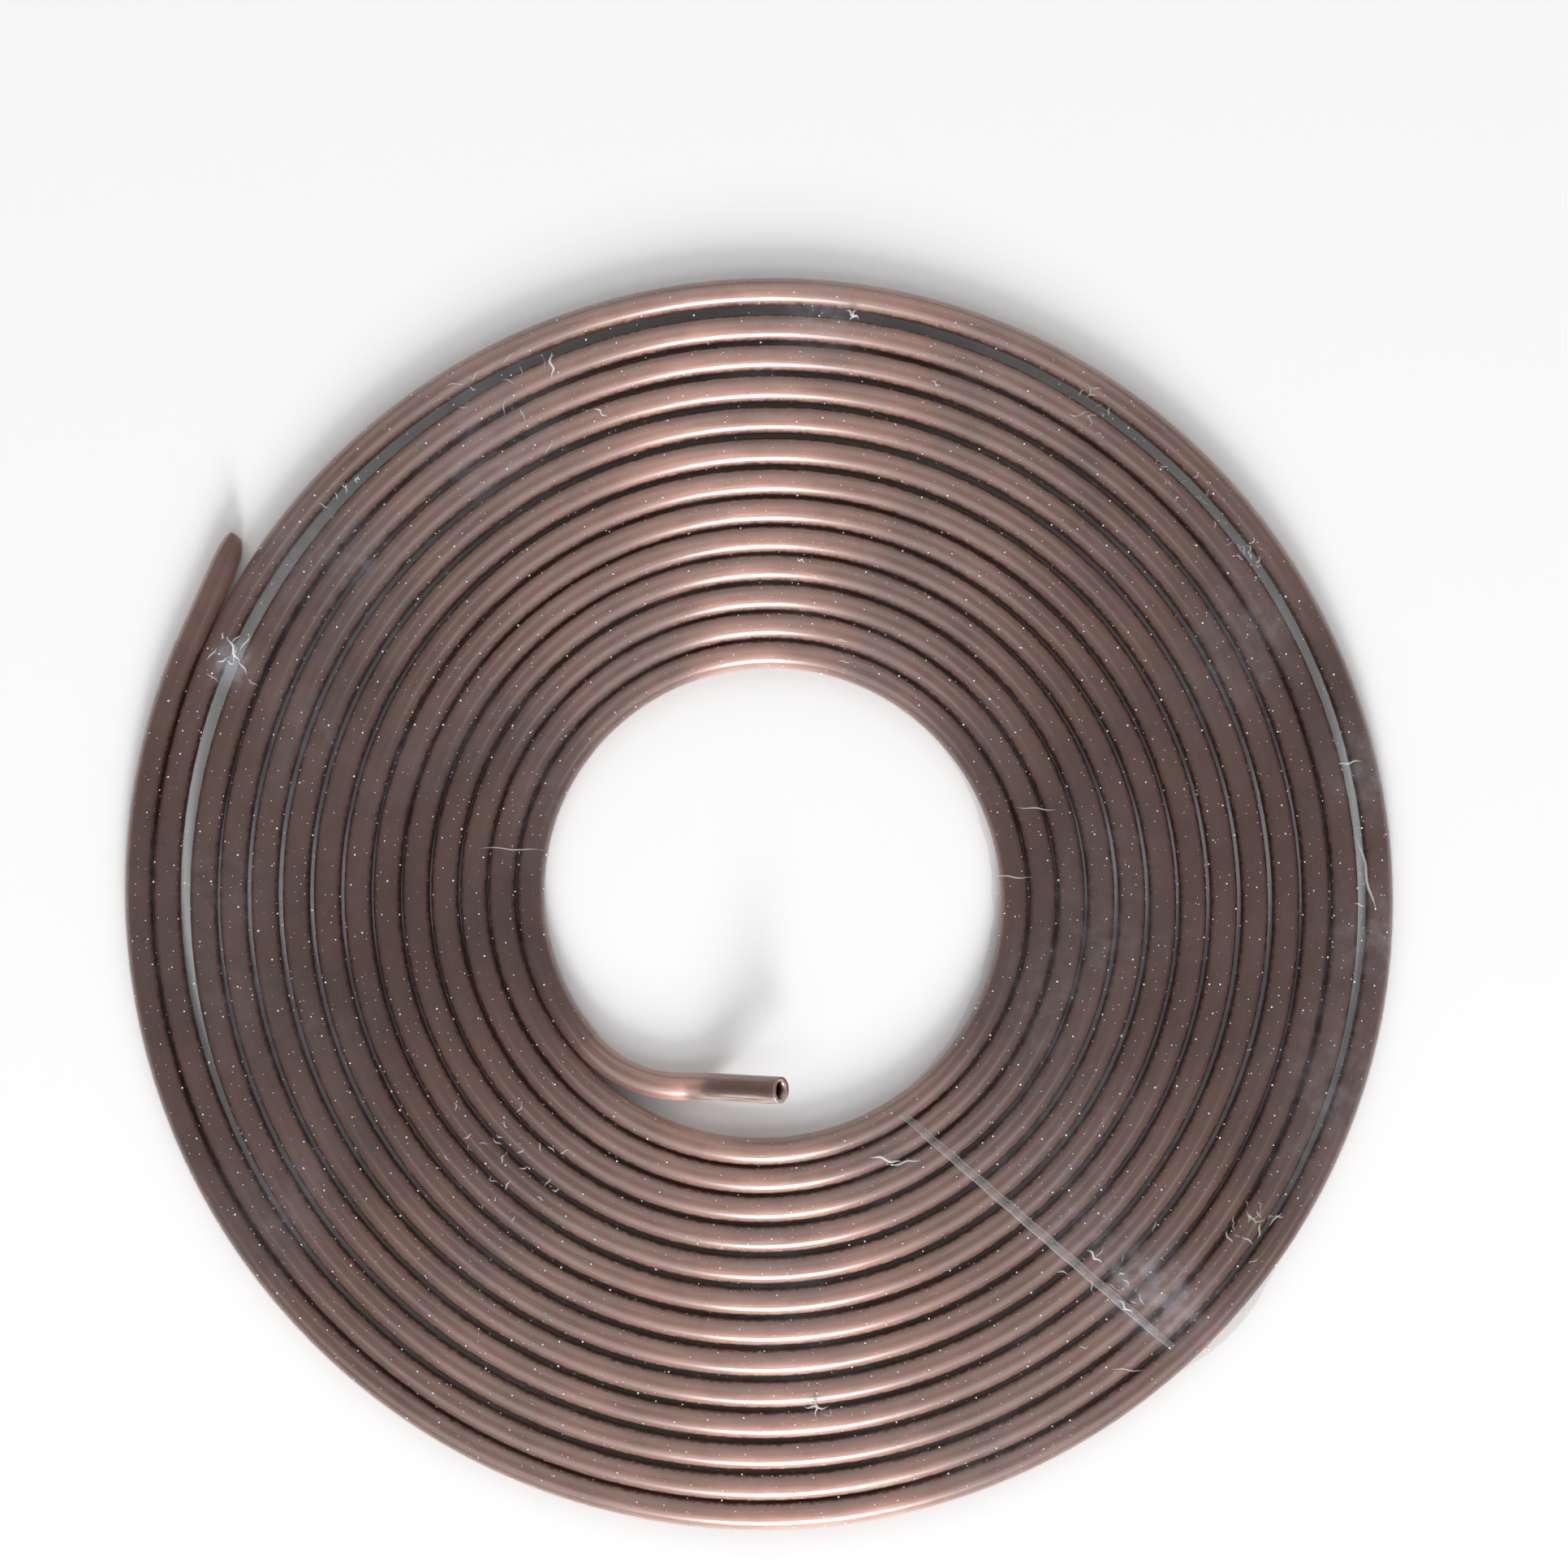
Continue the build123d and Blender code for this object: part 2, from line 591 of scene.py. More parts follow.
    def plan(self, turned: np.ndarray, even: bool = False) -> np.ndarray:
        """Plan places of the centre line.

        Args:
            turned: Degrees wound from the inner end.
            even: Whether to leave out the unevenness.

        Returns:
            One X, Y pair for each angle.
        """
        quarter = np.searchsorted(self.starts, turned, side="right") - 1
        quarter = np.clip(quarter, 0, len(self.radii) - 1)
        reach = self.radii[quarter]
        if not even:
            reach = reach + self.unevenness(turned)
        return self.centres[quarter] + reach[:, None] * self.outward(turned) + self.shift

    def inner_end(self, steps: int = 14) -> tuple[np.ndarray, np.ndarray]:
        """Places and directions of the inner end, from the open cut back to the winding.

        Args:
            steps: Points on each bend.

        Returns:
            Points and unit directions of travel.
        """
        out = self.outward(np.array([0.0]))[0]
        start = self.plan(np.array([0.0]))[0]
        centre = start - self.entry_bend_radius * out
        points, ways = [], []
        for share in np.linspace(0.0, 1.0, steps + 1)[1:]:
            turn = math.radians(self.entry_bend_sweep * share)
            turned_out = np.array([out[0] * math.cos(turn) - out[1] * math.sin(turn),
                                   out[0] * math.sin(turn) + out[1] * math.cos(turn)])
            points.append([*(centre + self.entry_bend_radius * turned_out), self.axis_height])
            ways.append([-turned_out[1], turned_out[0], 0.0])
        base, flat = np.array(points[-1]), np.array(ways[-1])
        for share in np.linspace(0.0, 1.0, steps + 1)[1:]:
            turn = math.radians(self.lift_angle * share)
            along, rise = self.lift_radius * math.sin(turn), self.lift_radius * (1 - math.cos(turn))
            points.append(base + flat * along + np.array([0.0, 0.0, rise]))
            ways.append(flat * math.cos(turn) + np.array([0.0, 0.0, math.sin(turn)]))
        base, way = np.array(points[-1]), np.array(ways[-1])
        for share in np.linspace(0.0, 1.0, 7)[1:]:
            points.append(base + way * self.stub_length * share)
            ways.append(way)
        return np.array(points)[::-1], -np.array(ways)[::-1]


@dataclass
class CopperTube:
    """The tube: a round skin with its bore, a rounded inner cut and a pinched outer end."""

    route: TubeRoute
    finish: CopperFinish = field(default_factory=CopperFinish)
    step: float = 2.5
    bore_step: float = 7.5
    sides: int = 24
    wall: float = 0.8 * MM
    rim: float = 0.25 * MM
    pinch_length: float = 8.0 * MM
    pinch_solid: float = 1.0 * MM
    pinch_slit: float = 0.2 * MM
    pinch_lean_share: float = 0.35
    scuff_and_highlight_reach: float = 24.0 * MM

    @property
    def radius(self) -> float:
        """Outside radius."""
        return self.route.tube_od / 2

    @property
    def bore(self) -> float:
        """Inside radius."""
        return self.radius - self.wall

    def line(self, step: float) -> tuple[np.ndarray, np.ndarray]:
        """Centre line from the open cut to the start of the pinch.

        Args:
            step: Degrees between points of the winding.

        Returns:
            Points and unit directions of travel.
        """
        route = self.route
        head, head_way = route.inner_end()
        turned = np.append(np.arange(0.0, route.length_angle, step), route.length_angle)
        plan = route.plan(turned)
        coil = np.column_stack([plan, np.full(len(plan), route.axis_height)])
        out = route.outward(turned)
        coil_way = np.column_stack([out[:, 1], -out[:, 0], np.zeros(len(out))])
        share = np.linspace(0.0, 1.0, 6)[1:]
        tail = coil[-1] + coil_way[-1] * (share * route.free_end_length)[:, None]
        tail_way = np.repeat(coil_way[-1:], len(share), axis=0)
        return np.vstack([head, coil, tail]), np.vstack([head_way, coil_way, tail_way])

    def rings(self, points: np.ndarray, ways: np.ndarray, wide: np.ndarray,
              tall: np.ndarray) -> np.ndarray:
        """Rings of points square to the line.

        Args:
            points: Ring centres.
            ways: Directions of travel.
            wide: Half widths, across the coil.
            tall: Half heights.

        Returns:
            All ring points, ring after ring.
        """
        side = np.cross(np.array([0.0, 0.0, 1.0]), ways)
        side /= np.linalg.norm(side, axis=1)[:, None]
        above = np.cross(ways, side)
        angle = np.linspace(0.0, 2 * math.pi, self.sides, endpoint=False)
        spread = wide[:, None, None] * np.cos(angle)[None, :, None] * side[:, None, :]
        rise = tall[:, None, None] * np.sin(angle)[None, :, None] * above[:, None, :]
        return (points[:, None, :] + spread + rise).reshape(-1, 3)

    def pinch(self, start: np.ndarray, way: np.ndarray, reach: float, wide: tuple[float, float],
              tall: float) -> tuple[np.ndarray, np.ndarray, np.ndarray, np.ndarray]:
        """Ring centres and sizes along the pinched end, which leans towards its outer side.

        Args:
            start: Where the pinch starts.
            way: Direction of the tube there.
            reach: Length of this skin's pinch.
            wide: Half width before and after.
            tall: Half height, which stays.

        Returns:
            Points, directions, half widths and half heights.
        """
        share = np.sin(np.linspace(0.0, math.pi / 2, 12)[1:])
        widths = wide[1] + (wide[0] - wide[1]) * np.sqrt(1.0 - share**2)
        side = np.cross(np.array([0.0, 0.0, 1.0]), way)
        lean = self.pinch_lean_share * (wide[0] - widths)
        points = start + way * (share * reach)[:, None] + side * lean[:, None]
        ways = np.repeat(way[None, :], len(share), axis=0)
        return points, ways, widths, np.full(len(share), tall)

    def skin(self) -> tuple[np.ndarray, np.ndarray]:
        """Outer skin with the rounded rim and the pinched nose.

        Returns:
            Ring points and each ring's distance along the tube.
        """
        line, ways = self.line(self.step)
        turn = np.radians([0.0, 30.0, 60.0, 90.0])
        rim_radius = np.append([self.bore], self.radius - self.rim * (1 - np.sin(turn)))
        rim_depth = np.append([0.0], self.rim * (1 - np.cos(turn)))
        rim_points = line[0] + ways[0] * rim_depth[:, None]
        nose, nose_way, nose_wide, nose_tall = self.pinch(
            line[-1], ways[-1], self.pinch_length, (self.radius, self.wall), self.radius)
        points = np.vstack([rim_points, line[1:], nose])
        whole_way = np.vstack([np.repeat(ways[:1], len(rim_points), axis=0), ways[1:], nose_way])
        round_part = np.full(len(line) - 1, self.radius)
        wide = np.concatenate([rim_radius, round_part, nose_wide])
        tall = np.concatenate([rim_radius, round_part, nose_tall])
        gone = np.append([0.0], np.cumsum(np.linalg.norm(np.diff(points, axis=0), axis=1)))
        return self.rings(points, whole_way, wide, tall), gone

    def bore_skin(self) -> tuple[np.ndarray, np.ndarray]:
        """Bore, closing to a slit inside the pinch.

        Returns:
            Ring points and each ring's distance along the tube.
        """
        line, ways = self.line(self.bore_step)
        nose, nose_way, nose_wide, nose_tall = self.pinch(
            line[-1], ways[-1], self.pinch_length - self.pinch_solid,
            (self.bore, self.pinch_slit), self.bore)
        points, whole_way = np.vstack([line[1:], nose]), np.vstack([ways[1:], nose_way])
        round_part = np.full(len(line) - 1, self.bore)
        gone = np.append([0.0], np.cumsum(np.linalg.norm(np.diff(points, axis=0), axis=1)))
        wide = np.concatenate([round_part, nose_wide])
        tall = np.concatenate([round_part, nose_tall])
        return self.rings(points, whole_way, wide, tall), gone

    def painted_gap_shade_share(self, outer: np.ndarray) -> np.ndarray:
        """How much painted shade the skin gets: on its sides between turns, not on the free sides
        of the first and last one.

        Args:
            outer: Points of the outer skin, ring after ring.

        Returns:
            One number for each point.
        """
        rings = len(outer) // self.sides
        head = len(self.route.inner_end()[0]) + 4
        whole = self.route.length_angle
        turned = np.minimum((np.arange(rings) - head) * self.step, whole + 1.0)[:, None]
        angle = np.linspace(0.0, 2 * math.pi, self.sides, endpoint=False)
        last = whole - 360.0
        outwards = 1.0 - smooth(last - 20.0, last + 20.0, turned)
        outwards = outwards * np.maximum(np.sign(np.cos(angle)), 0.0)
        inwards = smooth(340.0, 380.0, turned) * np.maximum(np.sign(-np.cos(angle)), 0.0)
        beside = smooth(0.72, 0.32, np.sin(angle)) * smooth(0.0, 40.0, turned) * (turned < whole)
        return (beside * (outwards + inwards)).ravel()

    def build(self) -> bpy.types.Object:
        """Build and dress the tube.

        Returns:
            The tube as one piece.
        """
        outer, outer_gone = self.skin()
        inner, inner_gone = self.bore_skin()
        count = len(outer_gone)
        first_inner = len(outer)
        faces = grid_faces(count, self.sides)
        bore_faces = grid_faces(len(inner_gone), self.sides, first_inner)
        faces += [tuple(reversed(face)) for face in bore_faces]
        for column in range(self.sides):
            following = (column + 1) % self.sides
            faces.append((following, column, first_inner + column, first_inner + following))
        faces.append(tuple(range((count - 1) * self.sides, count * self.sides)))
        last = first_inner + (len(inner_gone) - 1) * self.sides
        faces.append(tuple(reversed(range(last, last + self.sides))))
        piece = mesh_piece("wound_tube", np.vstack([outer, inner]), faces)
        add_measure(piece, "along", np.repeat(np.concatenate([outer_gone, inner_gone]), self.sides))
        angle = np.linspace(0.0, 2 * math.pi, self.sides, endpoint=False)
        add_measure(piece, "around", np.tile(np.sin(angle), count + len(inner_gone)))
        # Painted shade on the sides that face a neighbouring turn.
        add_measure(piece, "painted_gap_shade", np.concatenate([self.painted_gap_shade_share(outer), np.zeros(len(inner))]))
        # Scuffs along the lower side of the inner end, partly a painted highlight, fading out along
        # the tube.
        lower = smooth(0.15, 0.60, np.cos(angle))
        scuff_and_highlight = smooth(self.scuff_and_highlight_reach, 0.8 * self.scuff_and_highlight_reach, outer_gone)[:, None] * lower
        loops = np.vstack([outer, inner]).reshape(-1, self.sides, 3)
        across = np.roll(loops, -1, axis=1) - np.roll(loops, 1, axis=1)
        across /= np.maximum(np.linalg.norm(across, axis=2, keepdims=True), 1e-9)
        add_ways(piece, "across", across.reshape(-1, 3))
        add_measure(piece, "scuff_and_painted_highlight", np.concatenate([scuff_and_highlight.ravel(), np.zeros(len(inner))]))
        piece.data.materials.append(self.finish.material())
        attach(piece, "root")
        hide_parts("copper_tube")
        return piece


class FoldKind(Enum):
    """How white a fold of film is across its width, from one edge to the other."""

    CREASE = (0.0, 0.6, 1.0, 0.6, 0.0)
    SEAM = (0.85, 0.45, 0.6, 0.45, 0.85)


@dataclass(frozen=True)
class FilmFold:
    """A pinched ridge of film, from one place to another on the upper cover."""

    start: Spot
    end: Spot
    width: float
    height: float
    whiteness: float
    steps: int = 12
    kind: FoldKind = FoldKind.CREASE


@dataclass(frozen=True)
class CrinkleCluster:
    """A place where the film is crumpled into many short creases."""

    place: Spot
    spread: float
    count: int
    length: float
    whiteness: float
    seed: int

    def folds(self) -> list[FilmFold]:
        """Scatter the creases.

        Returns:
            The creases, the same ones every time.
        """
        dice = np.random.default_rng(self.seed)
        found = []
        for _ in range(self.count):
            middle = np.array(self.place) + dice.normal(0.0, self.spread, 2)
            turn, reach = dice.uniform(0.0, math.pi), self.length * dice.uniform(0.3, 1.0)
            half = 0.5 * reach * np.array([math.cos(turn), math.sin(turn)])
            white = self.whiteness * dice.uniform(0.35, 1.0)
            width, height = dice.uniform(0.35, 0.7) * MM, dice.uniform(0.08, 0.25) * MM
            ends = tuple(middle - half), tuple(middle + half)
            found.append(FilmFold(*ends, width, height, white, 8))
        return found


@dataclass(frozen=True)
class HazeAndSheenPatch:
    """A place where the film is clouded and partly carries a painted sheen of the sky."""

    place: Spot
    reach: float
    strength: float


@dataclass(frozen=True)
class FilmSlack:
    """A stretch where the film stands off the edge of the coil."""

    side: FilmSide
    angle: float
    sweep: float
    depth: float


@dataclass
class FilmWrap:
    """Clear film drawn tight over the coil, with its seam, its creases and its slack stretches."""

    route: TubeRoute
    finish: FilmFinish = field(default_factory=FilmFinish)
    step: float = 1.5
    clearance: float = 0.2 * MM
    thickness: float = 0.15 * MM
    sag: float = 0.35 * MM
    wall_steps: int = 10
    across: int = 5
    seam: FilmFold = FilmFold((32.9 * MM, -47.9 * MM), (95.1 * MM, -101.7 * MM), 2.2 * MM,
                              0.3 * MM, 0.17, 60, FoldKind.SEAM)
    # Creases whose white ridges are partly painted glints.
    folds: tuple[FilmFold, ...] = (
        FilmFold((-121.5 * MM, 61.5 * MM), (-119.0 * MM, 55.5 * MM), 0.9 * MM, 0.6 * MM, 0.75),
        FilmFold((-47.6 * MM, 126.5 * MM), (-46.9 * MM, 120.5 * MM), 1.0 * MM, 0.8 * MM, 0.80),
        FilmFold((-37.5 * MM, 114.0 * MM), (-34.5 * MM, 111.5 * MM), 0.8 * MM, 0.5 * MM, 0.65),
        FilmFold((25.5 * MM, -57.6 * MM), (33.0 * MM, -59.3 * MM), 0.9 * MM, 0.6 * MM, 0.75),
        FilmFold((29.5 * MM, -59.9 * MM), (37.5 * MM, -58.4 * MM), 0.7 * MM, 0.5 * MM, 0.55),
        FilmFold((75.5 * MM, -79.0 * MM), (78.8 * MM, -82.4 * MM), 0.9 * MM, 0.6 * MM, 0.70),
        FilmFold((82.5 * MM, -90.5 * MM), (86.0 * MM, -94.0 * MM), 0.9 * MM, 0.6 * MM, 0.75),
        FilmFold((10.5 * MM, -115.1 * MM), (16.2 * MM, -115.4 * MM), 0.8 * MM, 0.6 * MM, 0.70),
        FilmFold((13.4 * MM, -117.6 * MM), (13.2 * MM, -112.8 * MM), 0.8 * MM, 0.6 * MM, 0.70),
        FilmFold((58.8 * MM, 22.3 * MM), (68.7 * MM, 21.6 * MM), 0.5 * MM, 0.25 * MM, 0.35),
        FilmFold((53.2 * MM, 6.6 * MM), (63.1 * MM, 6.0 * MM), 0.5 * MM, 0.25 * MM, 0.35),
        FilmFold((-64.3 * MM, 13.0 * MM), (-49.0 * MM, 12.4 * MM), 0.5 * MM, 0.25 * MM, 0.30),
        FilmFold((137.5 * MM, 15.5 * MM), (141.5 * MM, -2.0 * MM), 0.9 * MM, 0.2 * MM, 0.35),
        FilmFold((133.0 * MM, 32.0 * MM), (138.5 * MM, 33.0 * MM), 0.6 * MM, 0.2 * MM, 0.35),
        FilmFold((136.6 * MM, 0.4 * MM), (139.3 * MM, -0.6 * MM), 0.4 * MM, 0.2 * MM, 0.55),
        FilmFold((88.5 * MM, -107.0 * MM), (80.5 * MM, -106.4 * MM), 0.4 * MM, 0.2 * MM, 0.45),
        FilmFold((20.3 * MM, 136.2 * MM), (23.2 * MM, 134.1 * MM), 0.9 * MM, 0.5 * MM, 0.75),
        FilmFold((21.2 * MM, 133.7 * MM), (22.4 * MM, 136.4 * MM), 0.8 * MM, 0.5 * MM, 0.65),
        FilmFold((8.8 * MM, 79.3 * MM), (10.9 * MM, 78.4 * MM), 0.8 * MM, 0.4 * MM, 0.60),
        FilmFold((39.6 * MM, 120.2 * MM), (41.9 * MM, 118.6 * MM), 0.7 * MM, 0.4 * MM, 0.50),
        FilmFold((18.2 * MM, 55.9 * MM), (21.4 * MM, 55.3 * MM), 0.4 * MM, 0.2 * MM, 0.50),
        FilmFold((17.6 * MM, 60.8 * MM), (20.9 * MM, 60.2 * MM), 0.4 * MM, 0.2 * MM, 0.45),
    )
    # Crumpled patches whose white creases are partly painted glints.
    clusters: tuple[CrinkleCluster, ...] = (
        CrinkleCluster((-122.0 * MM, 58.5 * MM), 3.0 * MM, 16, 5.0 * MM, 0.60, 3),
        CrinkleCluster((-57.5 * MM, -60.0 * MM), 7.0 * MM, 26, 3.0 * MM, 0.55, 5),
        CrinkleCluster((13.3 * MM, -115.1 * MM), 2.5 * MM, 8, 4.0 * MM, 0.45, 7),
        CrinkleCluster((115.0 * MM, -74.0 * MM), 4.0 * MM, 22, 4.5 * MM, 0.42, 11),
        CrinkleCluster((76.9 * MM, 113.6 * MM), 3.0 * MM, 16, 3.0 * MM, 0.28, 13),
        CrinkleCluster((100.7 * MM, 96.3 * MM), 3.5 * MM, 20, 3.0 * MM, 0.28, 29),
        CrinkleCluster((112.6 * MM, 79.7 * MM), 3.0 * MM, 16, 3.0 * MM, 0.28, 31),
        CrinkleCluster((-62.0 * MM, 120.0 * MM), 7.0 * MM, 18, 5.0 * MM, 0.35, 17),
        CrinkleCluster((-98.0 * MM, 95.0 * MM), 3.0 * MM, 10, 3.0 * MM, 0.60, 19),
        CrinkleCluster((80.0 * MM, -86.0 * MM), 6.0 * MM, 12, 4.0 * MM, 0.40, 23),
    )
    # Patches of haziness that are partly a painted sheen of the sky.
    patches: tuple[HazeAndSheenPatch, ...] = (
        HazeAndSheenPatch((-120.3 * MM, 55.0 * MM), 4.0 * MM, 0.30),
        HazeAndSheenPatch((-62.4 * MM, 103.4 * MM), 14.0 * MM, 0.05),
        HazeAndSheenPatch((-112.8 * MM, -68.5 * MM), 14.0 * MM, 0.05),
        HazeAndSheenPatch((111.3 * MM, 58.6 * MM), 14.0 * MM, 0.05),
        HazeAndSheenPatch((141.2 * MM, 30.5 * MM), 12.0 * MM, 0.07),
        HazeAndSheenPatch((141.0 * MM, -6.0 * MM), 12.0 * MM, 0.07),
        HazeAndSheenPatch((132.0 * MM, -45.0 * MM), 12.0 * MM, 0.05),
        HazeAndSheenPatch((87.0 * MM, -87.1 * MM), 11.0 * MM, 0.10),
        HazeAndSheenPatch((72.0 * MM, -74.0 * MM), 9.0 * MM, 0.06),
        HazeAndSheenPatch((95.0 * MM, -93.0 * MM), 9.0 * MM, 0.10),
        HazeAndSheenPatch((15.0 * MM, 134.0 * MM), 9.0 * MM, 0.09),
        HazeAndSheenPatch((-90.4 * MM, 81.0 * MM), 13.0 * MM, 0.05),
        HazeAndSheenPatch((-108.0 * MM, 40.0 * MM), 11.0 * MM, 0.04),
    )
    slacks: tuple[FilmSlack, ...] = (
        FilmSlack(FilmSide.INNER, -5.0, 50.0, 1.5 * MM),
        FilmSlack(FilmSide.OUTER, -42.0, 7.0, 1.6 * MM),
    )

    @property
    def radius(self) -> float:
        """Radius of the film round the outermost tube."""
        return self.route.tube_od / 2 + self.clearance + self.thickness / 2

    @property
    def top(self) -> float:
        """Height of the upper cover on the crests."""
        return self.route.axis_height + self.radius

    def crests(self) -> tuple[np.ndarray, int]:
        """Plan places of the winding inside the film.

        Returns:
            The places, one each step, and the number of steps in a turn.
        """
        turned = np.arange(0.0, self.route.length_angle + 0.01, self.step)
        return self.route.plan(turned), int(round(360.0 / self.step))

    def cover(self, crest: np.ndarray, turn: int, way: float) -> np.ndarray:
        """Strip of film from each turn's crest to the next one's, dipping between them.

        Args:
            crest: Plan places of the winding.
            turn: Steps in a turn.
            way: 1 for the upper cover, -1 for the lower.

        Returns:
            Points, row after row.
        """
        near, far = crest[:-turn], crest[turn:]
        share = np.linspace(0.0, 1.0, self.across + 1)
        plan = near[:, None, :] + (far - near)[:, None, :] * share[None, :, None]
        dip = self.sag * np.sin(math.pi * share) ** 2
        height = self.route.axis_height + way * (self.radius - dip)
        rows = np.broadcast_to(height, plan.shape[:2])
        return np.concatenate([plan, rows[:, :, None]], axis=2).reshape(-1, 3)

    def stand_off(self, side: FilmSide, turned: np.ndarray) -> np.ndarray:
        """How far the film stands off the edge of the coil.

        Args:
            side: Which edge of the ring.
            turned: Degrees wound from the inner end.

        Returns:
            The distance in metres.
        """
        out = self.route.outward(turned)
        angle = np.degrees(np.arctan2(out[:, 1], out[:, 0]))
        found = np.zeros(len(turned))
        for slack in self.slacks:
            if slack.side is side:
                away = np.abs((angle - slack.angle + 180.0) % 360.0 - 180.0)
                phase = np.radians(angle)
                ripple = 1.0 + 0.12 * np.sin(phase * 23.0) + 0.08 * np.sin(phase * 41.0)
                found += slack.depth * smooth(slack.sweep, 0.3 * slack.sweep, away) * ripple
        return found

    def edge_wall(self, side: FilmSide) -> np.ndarray:
        """Half-round wall of film along the last or the first turn.

        Args:
            side: Which edge of the ring.

        Returns:
            Points, row after row, from the upper cover to the lower.
        """
        turned = np.arange(0.0, 360.01, self.step)
        if side is FilmSide.OUTER:
            last = math.floor(self.route.length_angle / self.step) * self.step
            turned = turned + last - 360.0
        plan, out = self.route.plan(turned), self.route.outward(turned) * side.value
        angle = np.linspace(math.pi / 2, -math.pi / 2, self.wall_steps + 1)
        reach = (self.radius + self.stand_off(side, turned))[:, None] * np.cos(angle)[None, :]
        spread = plan[:, None, :] + out[:, None, :] * reach[:, :, None]
        height = self.route.axis_height + self.radius * np.sin(angle)
        height = np.broadcast_to(height, spread.shape[:2])
        return np.concatenate([spread, height[:, :, None]], axis=2).reshape(-1, 3)

    def ridge(self, fold: FilmFold) -> tuple[np.ndarray, np.ndarray]:
        """Points of a fold: a low ridge, five points across, that runs out at both ends.

        Args:
            fold: The fold's place and size.

        Returns:
            Points, row after row, and how white each one is.
        """
        start, end = np.array(fold.start), np.array(fold.end)
        along = end - start
        cross = np.array([-along[1], along[0]]) / np.linalg.norm(along)
        share = np.linspace(0.0, 1.0, fold.steps + 1)
        straight = fold.kind is FoldKind.SEAM
        swell = np.sin(math.pi * np.clip(share, 0.02, 0.98)) ** (0.12 if straight else 0.6)
        wave = np.sin(share * fold.steps * 0.9 + 900.0 * start[0])
        sway = (0.03 if straight else 0.35) * fold.width * wave
        offset = np.array([-0.5, -0.2, 0.0, 0.2, 0.5]) * fold.width
        rise = np.array([-0.1, 0.75, 1.0, 0.7, -0.1]) * fold.height
        plan = (start + along * share[:, None])[:, None, :]
        plan = plan + cross * (sway[:, None] + offset[None, :] * swell[:, None])[:, :, None]
        height = self.top + rise[None, :] * swell[:, None]
        white = fold.whiteness * np.array(fold.kind.value)[None, :] * swell[:, None]
        return np.concatenate([plan, height[:, :, None]], axis=2).reshape(-1, 3), white.ravel()

    def lies_on(self, fold: FilmFold, crest: np.ndarray, turn: int) -> bool:
        """Whether a fold lies wholly on the upper cover.

        Args:
            fold: The fold to place.
            crest: Plan places of the winding.
            turn: Steps in a turn.

        Returns:
            True where both its ends are between the first and the last turn.
        """
        near, far = crest[:turn], crest[-turn:]
        for place in (np.array(fold.start), np.array(fold.end)):
            away = place - self.route.shift
            reach = np.linalg.norm(away)
            for edge, sign in ((near, 1.0), (far, -1.0)):
                spoke = edge - self.route.shift
                length = np.linalg.norm(spoke, axis=1)
                beside = np.argmax(spoke @ away / length)
                if sign * (reach - length[beside]) < 0.0:
                    return False
        return True

    def haze_and_sheen_at(self, points: np.ndarray) -> np.ndarray:
        """How strong the haziness and the painted sheen are at each point.

        Args:
            points: Places on the film.

        Returns:
            Their strength.
        """
        found = np.zeros(len(points))
        for patch in self.patches:
            away = np.linalg.norm(points[:, :2] - np.array(patch.place), axis=1)
            found += patch.strength * np.exp(-((away / patch.reach) ** 2))
        return np.where(points[:, 2] > self.route.axis_height, found, 0.0)

    def build(self) -> bpy.types.Object:
        """Build and dress the film.

        Returns:
            The film as one piece.
        """
        crest, turn = self.crests()
        covers = [self.cover(crest, turn, way) for way in (1.0, -1.0)]
        walls = [self.edge_wall(side) for side in FilmSide]
        sheets = [(sheet, np.zeros(len(sheet)), self.across + 1) for sheet in covers]
        sheets += [(sheet, np.zeros(len(sheet)), self.wall_steps + 1) for sheet in walls]
        creases = [crease_and_glint for cluster in self.clusters for crease_and_glint in cluster.folds()
                   if self.lies_on(crease_and_glint, crest, turn)]
        sheets += [(*self.ridge(fold), 5) for fold in (self.seam, *self.folds, *creases)]
        points, faces, white, start = [], [], [], 0
        for sheet, whiteness, columns in sheets:
            faces += grid_faces(len(sheet) // columns, columns, start, closed=False)
            points.append(sheet)
            white.append(whiteness)
            start += len(sheet)
        places = np.vstack(points)
        piece = mesh_piece("clear_wrap", places, faces)
        # Whiteness of the seam and the creases, partly a painted glint on the creases.
        add_measure(piece, "crease_and_glint", np.concatenate(white))
        # Haziness on the upper cover, partly a painted sheen of the sky.
        add_measure(piece, "haze_and_sheen", self.haze_and_sheen_at(places))
        piece.data.materials.append(self.finish.material())
        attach(piece, "root")
        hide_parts("film_wrap")
        return piece


@dataclass(frozen=True)
class Lamp:
    """A soft rectangular lamp: where it hangs, its width and height, and its watts."""

    name: str
    place: Point
    size: Spot
    power: float


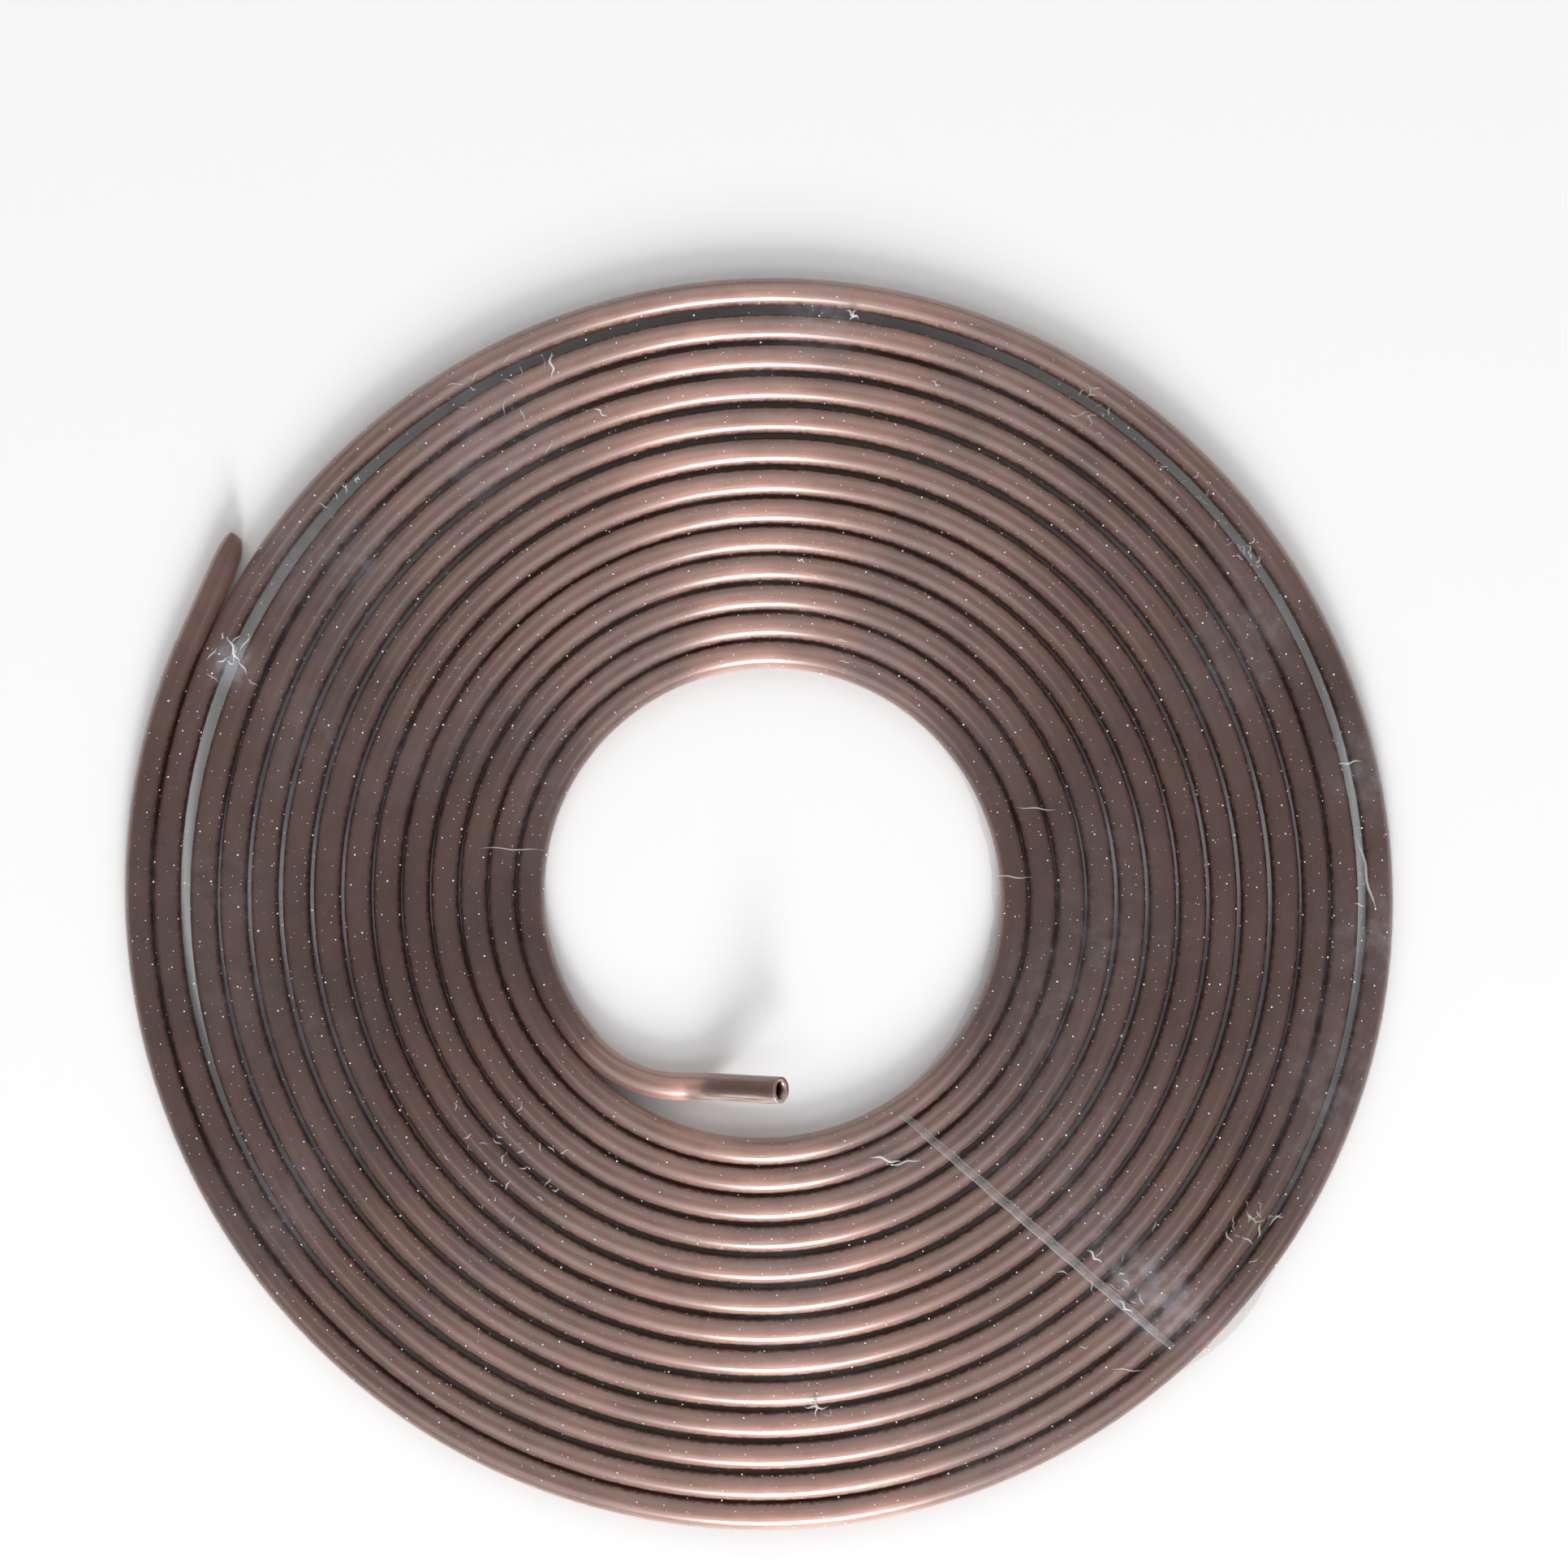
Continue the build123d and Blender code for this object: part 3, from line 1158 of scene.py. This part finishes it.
@dataclass
class Studio:
    """White floor, soft lamps and the camera above."""

    floor_finish: FloorFinish = field(default_factory=FloorFinish)
    floor_reach: float = 9.0
    view_place: Point = (5.98 * MM, 27.55 * MM, 855.5 * MM)
    lens: float = 85.0
    sensor: float = 36.0
    sky: float = 0.27
    lamps: tuple[Lamp, ...] = (
        Lamp("key", (0.16, -2.70, 1.32), (0.7, 1.3), 70.0),
        Lamp("window", (0.14, -2.23, 2.01), (4.2, 3.0), 52.0),
        Lamp("fill", (-0.14, 2.23, 2.01), (4.2, 3.0), 34.0),
    )

    def floor(self) -> bpy.types.Object:
        """Lay the floor.

        Returns:
            The floor.
        """
        reach = self.floor_reach
        corners = np.array([[-reach, -reach, 0.0], [reach, -reach, 0.0],
                            [reach, reach, 0.0], [-reach, reach, 0.0]])
        piece = mesh_piece("floor", corners, [(0, 1, 2, 3)])
        piece.data.materials.append(self.floor_finish.material())
        return piece

    def hang(self, lamp: Lamp) -> None:
        """Hang a lamp so that it faces the coil.

        Args:
            lamp: The lamp to hang.
        """
        light = bpy.data.lights.new(lamp.name, "AREA")
        light.shape = "RECTANGLE"
        light.size, light.size_y = lamp.size
        light.energy = lamp.power
        holder = bpy.data.objects.new(lamp.name, light)
        holder.location = lamp.place
        x, y, z = lamp.place
        holder.rotation_euler = (math.atan2(math.hypot(x, y), z), 0.0, math.atan2(x, -y))
        bpy.context.collection.objects.link(holder)

    def world(self) -> None:
        """Set an even grey sky."""
        world = bpy.data.worlds.new("studio")
        world.use_nodes = True
        sky = world.node_tree.nodes["Background"]
        sky.inputs["Color"].default_value = (1.0, 1.0, 1.0, 1.0)
        sky.inputs["Strength"].default_value = self.sky
        bpy.context.scene.world = world

    def camera(self) -> None:
        """Hang the camera straight above the coil."""
        data = bpy.data.cameras.new("camera")
        data.lens = self.lens
        data.sensor_width = self.sensor
        holder = bpy.data.objects.new("camera", data)
        holder.location = self.view_place
        bpy.context.collection.objects.link(holder)
        bpy.context.scene.camera = holder

    def build(self) -> None:
        """Set up the whole studio."""
        self.floor()
        for lamp in self.lamps:
            self.hang(lamp)
        self.world()
        self.camera()
        bpy.context.scene.view_settings.view_transform = "Standard"


def main() -> None:
    """Build every piece in order and report it."""
    logging.basicConfig(level=logging.INFO, format="%(message)s")
    route = TubeRoute()
    for maker in (CopperTube(route), FilmWrap(route)):
        piece = maker.build()
        log.info("%s: %d faces", piece.name, len(piece.data.polygons))
    Studio().build()


if __name__ == "__main__":
    main()
